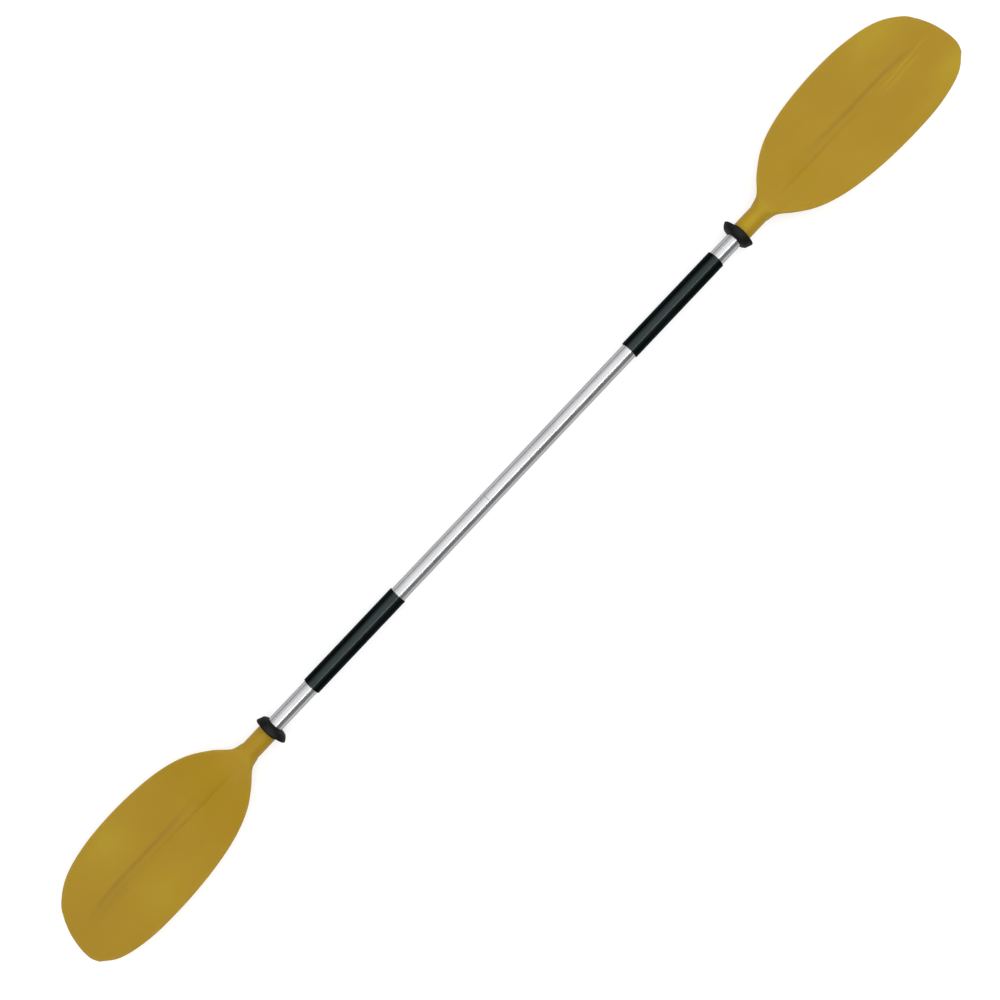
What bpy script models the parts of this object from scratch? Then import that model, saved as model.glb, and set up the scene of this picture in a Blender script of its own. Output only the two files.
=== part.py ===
"""A take-apart kayak paddle: two moulded asymmetric blades on a two-piece aluminium shaft.

The origin is on the shaft's axis, halfway between the blade tips. +X runs along the shaft to
the right blade, +Z points out of the blades' front faces, and the longer edge of each blade is
on the -Y side. The left blade is the mirror image of the right one, so the blades lie in line
until the joint in the shaft is feathered. Both halves are shown assembled.
"""

import math

import bmesh
import bpy
from mathutils import Matrix, Vector

# Driving dimensions, metres
PADDLE_LENGTH = 2.200
BLADE_LENGTH = 0.496        # neck end to tip
GAP = 0.0003                # between pieces that touch

SHAFT_RADIUS = 0.0150
SHAFT_WALL = 0.0015
SPLIT_X = -0.042            # where the two halves of the shaft meet
SOCKET_DEPTH = 0.052        # how far each tube goes into its blade

NECK_RADIUS = 0.0184
NECK_LENGTH = 0.040         # the straight, round part of the neck
THROAT_END = 0.060          # the neck has opened into the blade here
BLADE_THICKNESS = 0.0042
THROAT_THICKNESS = 0.0100
LAND = (0.095, 0.185)       # the stretch of the back's spine that has a flat crest
LAND_HEIGHT = 0.0140        # how far the crest's near end is behind the shaft's axis
LAND_SLOPE = 0.041          # how fast it nears the axis towards the tip

GRIP_RADIUS = 0.0175
RIGHT_GRIP = (0.318, 0.539)
LEFT_GRIP = (-0.493, -0.272)

RING_RADIUS = 0.0315
RING_LENGTH = 0.0185
RING_LEAN = 0.07            # how far the soft flange leans along the shaft, per metre of height
RESTING_ROLL = 16.7         # degrees: laid down, the paddle rolls on to its longer edges

FERRULE_RADIUS = 0.0132
FERRULE_BORE = 0.0110
FERRULE_REACH = 0.095       # into each half
SEAL_X = SPLIT_X + 0.008
SEAL_SECTION_RADIUS = 0.00047
SEAL_GROOVE_HALF_WIDTH = 0.0012
SEAL_GROOVE_RADIUS = 0.01215

BUTTON_X = SPLIT_X + 0.028
BUTTON_RADIUS = 0.0035
BUTTON_TOP = 0.0172         # from the shaft's axis, at rest
BUTTON_HOLE_RADIUS = 0.0040
FEATHER_ANGLES = (-60, 0, 60)     # degrees from the back of the shaft
SPRING_THICKNESS = 0.0006
SPRING_WIDTH = 0.0080

RIVET_RADIUS = 0.0024
RIVET_HEAD_RADIUS = 0.0046
RIVET_HEAD_HEIGHT = 0.0013
RIVET_HOLE_RADIUS = 0.0027
RIVET_TAIL_RADIUS = 0.0034
MANDREL_RADIUS = 0.0011
BLADE_RIVET_X = 0.634
FERRULE_RIVET_X = SPLIT_X - 0.050

BUNG_LENGTH = 0.050
BUNG_ROUND = 0.002
ROUND_STEPS = 40            # facets round the shaft and everything on it
SMALL_STEPS = 14            # facets round buttons, holes and rivets
BLADE_ROWS = 28             # rows of points from neck to tip

NECK_X = PADDLE_LENGTH / 2 - BLADE_LENGTH
SHAFT_BORE = SHAFT_RADIUS - SHAFT_WALL
SLEEVE_BORE = SHAFT_RADIUS + GAP

# The blade's edge, as points that smooth curves pass through: along from the neck's end, then
# across towards +Y. The two sides start at the end of the neck, and the tip's end joins them.
SHORT_SIDE = [(.043, .0183), (.062, .025), (.088, .049), (.131, .0765), (.190, .094),
              (.285, .102), (.370, .0965), (.428, .0805), (.466, .053), (.480, .031)]
LONG_SIDE = [(.043, -.0183), (.062, -.024), (.088, -.045), (.120, -.066), (.170, -.0845),
             (.245, -.0975), (.340, -.102), (.410, -.0975), (.462, -.083), (.489, -.062)]
TIP_END = [(.480, .031), (.4885, .010), (.4935, -.010), (.496, -.032), (.4945, -.049),
           (.489, -.062)]


# ---------------------------------------------------------------- objects and materials

def clear_scene():
    for item in list(bpy.data.objects):
        bpy.data.objects.remove(item, do_unlink=True)


def make_material(name, colour, roughness, metallic=0.0):
    material = bpy.data.materials.new(name)
    material.use_nodes = True
    shader = material.node_tree.nodes["Principled BSDF"]
    shader.inputs["Base Color"].default_value = (*colour, 1.0)
    shader.inputs["Roughness"].default_value = roughness
    shader.inputs["Metallic"].default_value = metallic
    return material


def add_object(name, bm, material=None, location=(0, 0, 0)):
    bmesh.ops.recalc_face_normals(bm, faces=bm.faces)
    if bm.calc_volume(signed=True) < 0:
        bmesh.ops.reverse_faces(bm, faces=bm.faces)
    mesh = bpy.data.meshes.new(name)
    bm.to_mesh(mesh)
    bm.free()
    mesh.shade_smooth()
    mesh.set_sharp_from_angle(angle=math.radians(35))
    if material:
        mesh.materials.append(material)
    item = bpy.data.objects.new(name, mesh)
    bpy.context.collection.objects.link(item)
    item.location = location
    return item


def spin_profile(bm, profile, steps, closed):
    """Spin (along, radius) points round +X. An open profile starts and ends on the axis."""
    points = [bm.verts.new((along, 0, radius)) for along, radius in profile]
    edges = [bm.edges.new(pair) for pair in zip(points, points[1:])]
    if closed:
        edges.append(bm.edges.new((points[-1], points[0])))
    bmesh.ops.spin(bm, geom=points + edges, cent=(0, 0, 0), axis=(1, 0, 0),
                   angle=2 * math.pi, steps=steps, use_merge=True)
    bmesh.ops.remove_doubles(bm, verts=bm.verts, dist=1e-6)


def turned(name, profile, material=None, location=(0, 0, 0), steps=ROUND_STEPS, closed=True):
    bm = bmesh.new()
    spin_profile(bm, profile, steps, closed)
    return add_object(name, bm, material, location)


def outward(item):
    """Turn an object made along +X so that it points out of the back of the shaft."""
    item.rotation_euler = (0, math.radians(90), 0)
    return item


def tube(name, start, end, inner, outer, material, eased=0.0004):
    """A tube along X whose outer corners are eased."""
    profile = [(start, inner), (start, outer - eased), (start + eased, outer),
               (end - eased, outer), (end, outer - eased), (end, inner)]
    return turned(name, profile, material)


def cut(item, cutter):
    cutter.hide_render = True
    cutter.display_type = "WIRE"
    modifier = item.modifiers.new("cut", "BOOLEAN")
    modifier.operation = "DIFFERENCE"
    modifier.solver = "EXACT"
    modifier.object = cutter


def drill(item, x, radius, low, high, angles=(0,)):
    """Cut round holes between two distances from the axis, at angles from the back."""
    bm = bmesh.new()
    for angle in angles:
        pin = bmesh.new()
        spin_profile(pin, [(low, 0), (low, radius), (high, radius), (high, 0)],
                     SMALL_STEPS, closed=False)
        turn = Matrix.Rotation(math.radians(angle), 4, "X") @ Matrix.Rotation(
            math.radians(90), 4, "Y")
        pin.transform(turn)
        joined = bpy.data.meshes.new("pin")
        pin.to_mesh(joined)
        pin.free()
        bm.from_mesh(joined)
        bpy.data.meshes.remove(joined)
    cut(item, add_object(item.name + "_drill", bm, location=(x, 0, 0)))


# ---------------------------------------------------------------- blades

def smooth_curve(points, steps=24):
    """A centripetal Catmull-Rom curve through the points, as a list of vectors."""
    knots = [Vector(point) for point in points]
    knots = [2 * knots[0] - knots[1]] + knots + [2 * knots[-1] - knots[-2]]
    curve = []
    for a, b, c, d in zip(knots, knots[1:], knots[2:], knots[3:]):
        t1 = (b - a).length ** 0.5
        t2 = t1 + (c - b).length ** 0.5
        t3 = t2 + (d - c).length ** 0.5
        for step in range(steps):
            t = t1 + (t2 - t1) * step / steps
            ab = a.lerp(b, t / t1)
            bc = b.lerp(c, (t - t1) / (t2 - t1))
            cd = c.lerp(d, (t - t2) / (t3 - t2))
            abc = ab.lerp(bc, t / t2)
            bcd = bc.lerp(cd, (t - t1) / (t3 - t1))
            curve.append(abc.lerp(bcd, (t - t1) / (t2 - t1)))
    return curve + [knots[-2]]


def along_curve(curve, share):
    """The point at a share of a curve's length."""
    lengths = [(q - p).length for p, q in zip(curve, curve[1:])]
    left = share * sum(lengths)
    for p, q, length in zip(curve, curve[1:], lengths):
        if left <= length:
            return p.lerp(q, left / length)
        left -= length
    return curve[-1].copy()


def ease(value, low, high):
    """0 below low, 1 above high, and a smooth step between."""
    t = min(max((value - low) / (high - low), 0.0), 1.0)
    return t * t * (3 - 2 * t)


def dome(across, half_width, power):
    return max(0.0, 1 - (across / half_width) ** 2) ** power


def blade_heights(along, across, rim):
    """The front's and the back's height at a place. rim is 0 on the blade's edge, 1 inside it."""
    spoon = -0.006 + (along - 0.230) ** 2 / 3.2 + 0.5 * across ** 2
    opened = ease(along, 0.045, 0.140)
    half = rim * (THROAT_THICKNESS * (1 - opened) + BLADE_THICKNESS * opened) / 2
    mid = spoon * ease(along, NECK_LENGTH, 0.110)
    front, back = mid + half, mid - half
    front_power = 0.5 + 1.5 * ease(along, SOCKET_DEPTH, 0.075)
    back_power = 0.5 + 1.1 * ease(along, SOCKET_DEPTH, 0.160)
    front_width = NECK_RADIUS + 0.018 * ease(along, SOCKET_DEPTH - 0.004, 0.100)
    back_width = NECK_RADIUS + 0.006 * ease(along, 0.050, 0.130) - 0.010 * ease(along, 0.15, 0.44)
    front_rise = (NECK_RADIUS - front) * (1 - ease(along, SOCKET_DEPTH + 0.001, 0.095))
    back_rise = (NECK_RADIUS + back) * (1 - 0.5 * ease(along, SOCKET_DEPTH + 0.004, 0.170))
    back_rise *= 1 - ease(along, 0.150, 0.452)
    front += front_rise * dome(across, front_width, front_power)
    back -= back_rise * dome(across, back_width, back_power)
    if LAND[0] <= along <= LAND[1]:
        back = max(back, LAND_SLOPE * (along - LAND[0]) - LAND_HEIGHT)
    opening = ease(along, NECK_LENGTH, THROAT_END)
    pipe = math.sqrt(max(0.0, NECK_RADIUS ** 2 - across ** 2))
    return pipe + (front - pipe) * opening, -pipe + (back + pipe) * opening


def blade_grid():
    """Rows of (along, across) from the neck's end to the tip, and the rim factor of each point."""
    short, long, end = (smooth_curve(side) for side in (SHORT_SIDE, LONG_SIDE, TIP_END))
    halves = ROUND_STEPS // 2
    grid = []
    for along in (0.0, NECK_LENGTH / 2):
        grid.append([(along, NECK_RADIUS * math.cos(math.pi * j / halves))
                     for j in range(halves + 1)])
    for row in range(BLADE_ROWS):
        step = row / (BLADE_ROWS - 1)
        share = (step ** 1.7 + 1 - (1 - step) ** 1.15) / 2
        p, q = along_curve(short, share), along_curve(long, share)
        crowd = 1 + 0.5 * ease(p.x, NECK_LENGTH, 0.12)
        line = []
        for j in range(halves + 1):
            c = math.cos(math.pi * j / halves)
            s = (1 - math.copysign(abs(c) ** crowd, c)) / 2
            bow = along_curve(end, s) - end[0].lerp(end[-1], s)
            line.append(tuple(p.lerp(q, s) + bow * share ** 6))
        grid.append(line)
    return grid


def blade_mesh(side):
    """One closed blade with its blind socket. side is 1 for the right blade, -1 for the left."""
    grid = blade_grid()
    last = len(grid) - 1
    inset = [(0.25 * a[0] + 0.75 * b[0], 0.25 * a[1] + 0.75 * b[1])
             for a, b in zip(grid[-2], grid[-1])]
    inset[0], inset[-1] = grid[-2][0], grid[-2][-1]
    grid[-2] = inset
    bm = bmesh.new()
    loops = []
    for row, line in enumerate(grid):
        front, back = [], []
        for j, (along, across) in enumerate(line):
            on_rim = j in (0, len(line) - 1) or row == last
            heights = blade_heights(along, across, 0.0 if on_rim else 1.0)
            x = side * (NECK_X + along)
            if on_rim:
                middle = 0.0 if along < NECK_LENGTH else sum(heights) / 2
                vert = bm.verts.new((x, across, middle))
                front.append(vert)
                back.append(vert)
            else:
                front.append(bm.verts.new((x, across, heights[0])))
                back.append(bm.verts.new((x, across, heights[1])))
        loops.append((front, back))
    for (front, back), (next_front, next_back) in zip(loops, loops[1:]):
        for near, far in ((front, next_front), (back, next_back)):
            for j in range(len(near) - 1):
                bm.faces.new((near[j], near[j + 1], far[j + 1], far[j]))
    ring = loops[0][0] + loops[0][1][-2:0:-1]
    for radius, along in ((SLEEVE_BORE, 0.0), (SLEEVE_BORE, SOCKET_DEPTH + GAP)):
        inner = []
        for vert in ring:
            scale = radius / math.hypot(vert.co.y, vert.co.z)
            inner.append(bm.verts.new((side * (NECK_X + along), vert.co.y * scale,
                                       vert.co.z * scale)))
        for j, vert in enumerate(ring):
            k = (j + 1) % len(ring)
            bm.faces.new((vert, ring[k], inner[k], inner[j]))
        ring = inner
    bm.faces.new(ring)
    return bm


def add_blade(side, name, material):
    blade = add_object(name, blade_mesh(side), material)
    drill(blade, side * BLADE_RIVET_X, RIVET_HOLE_RADIUS, SHAFT_RADIUS - 0.002,
          NECK_RADIUS + 0.002)
    return blade


# ---------------------------------------------------------------- shaft, grips and rings

def add_shafts(material):
    tube_end = NECK_X + SOCKET_DEPTH
    left = tube("left_shaft", -tube_end, SPLIT_X, SHAFT_BORE, SHAFT_RADIUS, material)
    right = tube("right_shaft", SPLIT_X + GAP, tube_end, SHAFT_BORE, SHAFT_RADIUS, material)
    low, high = SHAFT_BORE - 0.001, SHAFT_RADIUS + 0.001
    drill(right, BUTTON_X, BUTTON_HOLE_RADIUS, low, high, FEATHER_ANGLES)
    for shaft, x in ((right, BLADE_RIVET_X), (left, -BLADE_RIVET_X), (left, FERRULE_RIVET_X)):
        drill(shaft, x, RIVET_HOLE_RADIUS, low, high)


def add_drip_ring(side, name, material):
    """A soft cup on the shaft, its rim open towards the blade. side is 1 for the right ring."""
    length = RING_LENGTH
    # From the end of the hub nearest the grip: along towards the blade, and the radius
    profile = [(0, SLEEVE_BORE), (0, .0163), (.0006, .0172), (.0016, .0220), (.0034, .0258),
               (.0080, .0288), (.0136, RING_RADIUS), (.0150, RING_RADIUS), (.0152, .0306),
               (.0092, .0272), (.0056, .0240), (.0044, .0205), (.0052, .0190),
               (length - .0006, .0190), (length, .0184), (length, SLEEVE_BORE)]
    start = NECK_X - GAP - length
    bm = bmesh.new()
    spin_profile(bm, [(start + along, radius) for along, radius in profile],
                 ROUND_STEPS, closed=True)
    # One facet of the rim lies flat on the ground when the paddle has rolled to rest
    facet = 360 / ROUND_STEPS
    turn = side * math.radians(facet / 2 - RESTING_ROLL % facet)
    bm.transform(Matrix.Rotation(turn, 4, "X"))
    for vert in bm.verts:
        height = math.hypot(vert.co.y, vert.co.z)
        flange = ease(height, 0.0205, RING_RADIUS)
        vert.co.x -= RING_LEAN * vert.co.y * flange
    if side < 0:
        bm.transform(Matrix.Rotation(math.pi, 4, "Z"))
    return add_object(name, bm, material)


# ---------------------------------------------------------------- the joint in the shaft

def add_ferrule(material):
    start, end = SPLIT_X - FERRULE_REACH, SPLIT_X + FERRULE_REACH
    low, high = SEAL_X - SEAL_GROOVE_HALF_WIDTH, SEAL_X + SEAL_GROOVE_HALF_WIDTH
    lead_in = 0.002
    profile = [(start, FERRULE_BORE), (start, FERRULE_RADIUS), (low, FERRULE_RADIUS),
               (low, SEAL_GROOVE_RADIUS), (high, SEAL_GROOVE_RADIUS), (high, FERRULE_RADIUS),
               (end - lead_in, FERRULE_RADIUS), (end, FERRULE_RADIUS - 0.001),
               (end, FERRULE_BORE)]
    ferrule = turned("ferrule", profile, material)
    for x, radius in ((BUTTON_X, BUTTON_HOLE_RADIUS), (FERRULE_RIVET_X, RIVET_HOLE_RADIUS)):
        drill(ferrule, x, radius, FERRULE_BORE - 0.001, FERRULE_RADIUS + 0.001)


def add_seal(material):
    centre = SEAL_GROOVE_RADIUS + GAP / 2 + SEAL_SECTION_RADIUS
    sides = 6
    profile = [(SEAL_X + SEAL_SECTION_RADIUS * math.cos(2 * math.pi * i / sides),
                centre + SEAL_SECTION_RADIUS * math.sin(2 * math.pi * i / sides))
               for i in range(sides)]
    turned("seal_ring", profile, material)


def add_button(material):
    """The lock button: a flange inside the ferrule, a stem through both walls and a round top."""
    flange_low, flange_high = 0.0087, 0.0095
    crown = 0.0012
    profile = [(flange_low, 0), (flange_low, BUTTON_RADIUS + .0011),
               (flange_high, BUTTON_RADIUS + .0011), (flange_high, BUTTON_RADIUS),
               (BUTTON_TOP - crown, BUTTON_RADIUS)]
    for step in range(1, 4):
        angle = math.radians(90) * step / 4
        profile.append((BUTTON_TOP - crown * (1 - math.sin(angle)),
                        BUTTON_RADIUS * math.cos(angle)))
    profile.append((BUTTON_TOP, 0))
    outward(turned("snap_button", profile, material, (BUTTON_X, 0, 0), SMALL_STEPS, False))


def add_button_spring(material):
    """A leaf bent to a V: one leg under the button, the other on the ferrule's far wall."""
    bend, bend_radius = -0.042, 0.0024
    path = [(BUTTON_X + 0.007, -0.0084)]
    for step in range(7):
        angle = math.radians(-80 - 200 * step / 6)
        path.append((BUTTON_X + bend + bend_radius * math.cos(angle),
                     bend_radius * math.sin(angle)))
    path.append((BUTTON_X + 0.007, 0.0092))
    points = [Vector(point) for point in path]
    half = SPRING_THICKNESS / 2
    inner, outer = [], []
    for i, point in enumerate(points):
        run = (points[min(i + 1, len(points) - 1)] - points[max(i - 1, 0)]).normalized()
        normal = Vector((-run.y, run.x))
        inner.append(point + normal * half)
        outer.append(point - normal * half)
    bm = bmesh.new()
    side = SPRING_WIDTH / 2
    loop = [bm.verts.new((x, -side, z)) for x, z in inner + outer[::-1]]
    face = bm.faces.new(loop)
    made = bmesh.ops.extrude_face_region(bm, geom=[face])["geom"]
    bmesh.ops.translate(bm, vec=(0, SPRING_WIDTH, 0),
                        verts=[item for item in made if isinstance(item, bmesh.types.BMVert)])
    add_object("button_spring", bm, material)


def add_rivet(name, x, wall_low, wall_high, body_material, mandrel_material):
    """A blind rivet through the walls between two radii, with the mandrel left in its bore."""
    seat = wall_high + GAP
    tail = math.sqrt(wall_low ** 2 - RIVET_TAIL_RADIUS ** 2) - GAP
    head = seat + RIVET_HEAD_HEIGHT
    bore = MANDREL_RADIUS + GAP
    body = [(tail - .0026, bore), (tail - .0026, .0028), (tail - .0018, RIVET_TAIL_RADIUS),
            (tail, RIVET_TAIL_RADIUS), (tail, RIVET_RADIUS), (seat, RIVET_RADIUS),
            (seat, RIVET_HEAD_RADIUS), (seat + .0003, RIVET_HEAD_RADIUS),
            (head, RIVET_HEAD_RADIUS * 0.45), (head, bore)]
    outward(turned(name, body, body_material, (x, 0, 0), SMALL_STEPS))
    stem = [(tail - .0046, 0), (tail - .0043, .0016), (tail - .0029, .0019),
            (tail - .0029, MANDREL_RADIUS), (head - .0003, MANDREL_RADIUS), (head - .0003, 0)]
    outward(turned(name + "_mandrel", stem, mandrel_material, (x, 0, 0), SMALL_STEPS, False))


def add_bung(name, start, material):
    """A foam plug that keeps water out of a tube."""
    radius = SHAFT_BORE - GAP
    end = start + BUNG_LENGTH
    profile = [(start, 0), (start, radius - BUNG_ROUND), (start + BUNG_ROUND, radius),
               (end - BUNG_ROUND, radius), (end, radius - BUNG_ROUND), (end, 0)]
    turned(name, profile, material, closed=False)


def build():
    clear_scene()
    plastic = make_material("blade_plastic", (0.45, 0.27, 0.030), 0.42)
    aluminium = make_material("shaft_aluminium", (0.72, 0.71, 0.73), 0.28, 1.0)
    grip_rubber = make_material("grip_rubber", (0.012, 0.016, 0.017), 0.35)
    ring_rubber = make_material("drip_ring_rubber", (0.010, 0.010, 0.011), 0.60)
    bare_aluminium = make_material("ferrule_aluminium", (0.60, 0.60, 0.61), 0.40, 1.0)
    seal_rubber = make_material("seal_rubber", (0.015, 0.015, 0.015), 0.50)
    steel = make_material("button_steel", (0.62, 0.61, 0.60), 0.25, 1.0)
    spring_steel = make_material("spring_steel", (0.42, 0.41, 0.40), 0.35, 1.0)
    rivet_aluminium = make_material("rivet_aluminium", (0.75, 0.75, 0.76), 0.32, 1.0)
    mandrel_steel = make_material("mandrel_steel", (0.35, 0.35, 0.35), 0.45, 1.0)
    foam = make_material("bung_foam", (0.80, 0.79, 0.75), 0.90)

    add_shafts(aluminium)
    for side, name, grip in ((1, "right", RIGHT_GRIP), (-1, "left", LEFT_GRIP)):
        add_blade(side, name + "_blade", plastic)
        tube(name + "_grip", *grip, SLEEVE_BORE, GRIP_RADIUS, grip_rubber, eased=0.0006)
        add_drip_ring(side, name + "_drip_ring", ring_rubber)
        add_rivet(name + "_blade_rivet", side * BLADE_RIVET_X, SHAFT_BORE, NECK_RADIUS,
                  rivet_aluminium, mandrel_steel)
    add_ferrule(bare_aluminium)
    add_rivet("ferrule_rivet", FERRULE_RIVET_X, FERRULE_BORE, SHAFT_RADIUS,
              rivet_aluminium, mandrel_steel)
    add_seal(seal_rubber)
    add_button(steel)
    add_button_spring(spring_steel)
    clearance = 0.006
    add_bung("left_bung", SPLIT_X - FERRULE_REACH - clearance - BUNG_LENGTH, foam)
    add_bung("right_bung", SPLIT_X + FERRULE_REACH + clearance, foam)


build()
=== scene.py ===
"""The finished look of a take-apart kayak paddle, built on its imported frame."""

import math

import bmesh
import bpy
import numpy as np
from mathutils import Matrix, Vector


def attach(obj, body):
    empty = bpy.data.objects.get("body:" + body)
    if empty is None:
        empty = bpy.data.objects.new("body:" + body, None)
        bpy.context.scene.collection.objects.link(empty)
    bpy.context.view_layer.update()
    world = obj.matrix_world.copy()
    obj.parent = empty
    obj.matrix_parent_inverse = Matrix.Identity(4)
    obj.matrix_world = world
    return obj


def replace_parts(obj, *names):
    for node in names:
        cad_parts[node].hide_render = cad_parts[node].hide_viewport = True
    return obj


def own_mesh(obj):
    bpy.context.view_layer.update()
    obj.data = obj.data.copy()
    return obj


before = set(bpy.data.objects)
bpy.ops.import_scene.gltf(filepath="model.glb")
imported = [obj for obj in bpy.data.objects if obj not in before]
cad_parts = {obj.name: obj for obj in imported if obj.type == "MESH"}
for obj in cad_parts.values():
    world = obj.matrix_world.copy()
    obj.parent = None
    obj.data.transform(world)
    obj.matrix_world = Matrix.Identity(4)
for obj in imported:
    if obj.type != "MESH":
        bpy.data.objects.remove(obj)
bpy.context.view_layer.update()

# Sizes shared with the CAD model, metres
BLADE_LENGTH = 0.496
NECK_X = 1.100 - BLADE_LENGTH
GAP = 0.0003
SHAFT_RADIUS = 0.0150
SHAFT_BORE = 0.0135
SLEEVE_BORE = SHAFT_RADIUS + GAP
SPLIT_X = -0.042
SOCKET_DEPTH = 0.052
NECK_RADIUS = 0.0184
NECK_LENGTH = 0.040
THROAT_END = 0.060
BLADE_THICKNESS = 0.0042
THROAT_THICKNESS = 0.0100
LAND = (0.095, 0.185)
LAND_HEIGHT = 0.0140
LAND_SLOPE = 0.041
GRIPS = {"right": (0.318, 0.539), "left": (-0.493, -0.272)}
GRIP_RADIUS = 0.0175
RING_RADIUS = 0.0315
RING_LENGTH = 0.0185
RING_LEAN = 0.07
FERRULE_RADIUS = 0.0132
FERRULE_BORE = 0.0110
FERRULE_REACH = 0.095
SEAL_X = SPLIT_X + 0.008
SEAL_GROOVE_RADIUS = 0.01215
SEAL_GROOVE_HALF_WIDTH = 0.0012
SEAL_CORD_RADIUS = 0.00047
BUTTON_X = SPLIT_X + 0.028
BUTTON_HOLE_RADIUS = 0.0040
FEATHER_ANGLES = (-60, 0, 60)
FERRULE_RIVET_X = SPLIT_X - 0.050
BLADE_RIVET_X = 0.634
RIVET_TAIL_RADIUS = 0.0034
BUNG_LENGTH = 0.050
BUNG_CLEARANCE = 0.006
FLOOR_HEIGHT = -0.0320

# Turns +X to the paddle's back, for the pins and holes that go through a tube's wall
OUTWARD = Matrix.Rotation(math.radians(90), 4, "Y")

# The blade's edge: along from the neck's end, then across towards +Y
SHORT_SIDE = [(.043, .0183), (.062, .025), (.088, .049), (.131, .0765), (.190, .094),
              (.285, .102), (.370, .0965), (.428, .0805), (.466, .053), (.480, .031)]
LONG_SIDE = [(.043, -.0183), (.062, -.024), (.088, -.045), (.120, -.066), (.170, -.0845),
             (.245, -.0975), (.340, -.102), (.410, -.0975), (.462, -.083), (.489, -.062)]
TIP_END = [(.480, .031), (.4885, .010), (.4935, -.010), (.496, -.032), (.4945, -.049),
           (.489, -.062)]

# The spear-shaped recess in the blade's front: along, then its upper and lower edge across
FLUTE_UPPER = [(.080, .019), (.130, .0185), (.190, .0155), (.240, .0128), (.360, .0122),
               (.396, .0108), (.430, .0066), (.450, .0022), (.458, .0000)]
FLUTE_LOWER = [(.080, -.0030), (.130, -.0042), (.200, -.0042), (.250, -.0052), (.310, -.0095),
               (.360, -.0132), (.396, -.0135), (.424, -.0096), (.446, -.0036), (.458, -.0012)]

# Painted light on each blade's front: along, across, length, width, and a strength that is above 0
# for a painted highlight and below 0 for painted shade
PAINTED_LIGHT_SPOTS = {
    "right": [(.150, .0075, .080, .0075, -.13), (.157, 0, .030, .020, .06),
              (.405, .070, .055, .024, .22), (.462, -.066, .040, .018, .26),
              (.400, -.086, .065, .014, .12), (.055, 0, .010, .024, .14),
              (.020, .002, .026, .008, .32),
              (.372, -.0046, .024, .0016, .30), (.408, -.0026, .024, .0016, .34),
              (.440, -.0002, .018, .0016, .32), (.378, -.0142, .024, .0016, .26),
              (.416, -.0116, .024, .0016, .28)],
    "left": [(.150, .0075, .080, .0075, -.10), (.160, 0, .032, .022, .09),
             (.055, 0, .010, .024, .10), (.385, -.0060, .072, .0110, -.52),
             (.338, .072, .045, .036, .17), (.335, -.062, .050, .034, .18),
             (.462, -.002, .010, .005, .14)]}


# ---------------------------------------------------------------- curves and surfaces

def smooth_curve(points, steps=24):
    """A centripetal Catmull-Rom curve through the points, as an array."""
    knots = [Vector(point) for point in points]
    knots = [2 * knots[0] - knots[1]] + knots + [2 * knots[-1] - knots[-2]]
    curve = []
    for a, b, c, d in zip(knots, knots[1:], knots[2:], knots[3:]):
        t1 = (b - a).length ** 0.5
        t2 = t1 + (c - b).length ** 0.5
        t3 = t2 + (d - c).length ** 0.5
        for step in range(steps):
            t = t1 + (t2 - t1) * step / steps
            ab = a.lerp(b, t / t1)
            bc = b.lerp(c, (t - t1) / (t2 - t1))
            cd = c.lerp(d, (t - t2) / (t3 - t2))
            abc = ab.lerp(bc, t / t2)
            bcd = bc.lerp(cd, (t - t1) / (t3 - t1))
            curve.append(abc.lerp(bcd, (t - t1) / (t2 - t1)))
    return np.array(curve + [knots[-2]])


def at_share(curve, share):
    """The points at shares of a curve's length."""
    lengths = np.hypot(*np.diff(curve, axis=0).T)
    run = np.concatenate([[0], np.cumsum(lengths)]) / lengths.sum()
    return np.stack([np.interp(share, run, curve[:, i]) for i in (0, 1)], -1)


def ease(value, low, high):
    """A smooth step from 0 to 1."""
    t = np.clip((value - low) / (high - low), 0.0, 1.0)
    return t * t * (3 - 2 * t)


def dome(across, half_width, power):
    """A bump across the blade, 1 on its axis and 0 past its half width."""
    return np.maximum(0.0, 1 - (across / half_width) ** 2) ** power


def distance_to(curve, along, across):
    """Each point's distance to a polyline."""
    starts, runs = curve[:-1], np.diff(curve, axis=0)
    long_enough = (runs ** 2).sum(-1) > 1e-14
    best = np.full(along.shape, 1e9)
    for p, r in zip(starts[long_enough], runs[long_enough]):
        dx, dy = along - p[0], across - p[1]
        t = np.clip((dx * r[0] + dy * r[1]) / (r ** 2).sum(), 0, 1)
        best = np.minimum(best, (dx - t * r[0]) ** 2 + (dy - t * r[1]) ** 2)
    return np.sqrt(best)


# ---------------------------------------------------------------- blades

def flute(along, across):
    """How deep the front's recess is at each place, and how much painted shade darkens its lines.
    """
    upper = np.interp(along, *smooth_curve(FLUTE_UPPER).T)
    lower = np.interp(along, *smooth_curve(FLUTE_LOWER).T)
    inside = ease(along, 0.17, 0.30) * (1 - 0.8 * ease(along, 0.375, 0.455))
    upper_wall = 1 - ease(across, upper - 0.0062, upper + 0.0026)
    lower_wall = ease(across, lower - 0.0036, lower + 0.0080)
    channel = 0.0014 * inside * upper_wall * lower_wall
    # Nearer the neck it is a crease: a long slope down to a sharp line, and a short way up
    crease_on = ease(along, 0.078, 0.130) * (1 - 0.72 * ease(along, 0.20, 0.31))
    crease_on = crease_on * (1 - ease(along, 0.36, 0.43))
    line = np.interp(along, [0.08, 0.2, 0.3, 0.43], [-0.0036, -0.0030, -0.0008, 0.0])
    slope = np.clip((upper + 0.002 - across) / (upper + 0.002 - line), 0, 1)
    slope = np.where(across > line, slope ** 1.6, 1 - ease(line - across, 0.0, 0.0050))
    crease = 0.0013 * crease_on * slope
    # Painted shade: a dark band along the crease's line, and another along the recess's upper wall
    painted_shade_and_highlight = 0.62 * np.exp(-((across - line) / 0.0026) ** 2) * crease_on
    long_line = ease(along, 0.14, 0.27) * (1 - ease(along, 0.405, 0.455))
    painted_shade_and_highlight += 0.84 * np.exp(-((across - upper + 0.0016) / 0.0042) ** 2) * long_line
    return channel + crease, painted_shade_and_highlight


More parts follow.
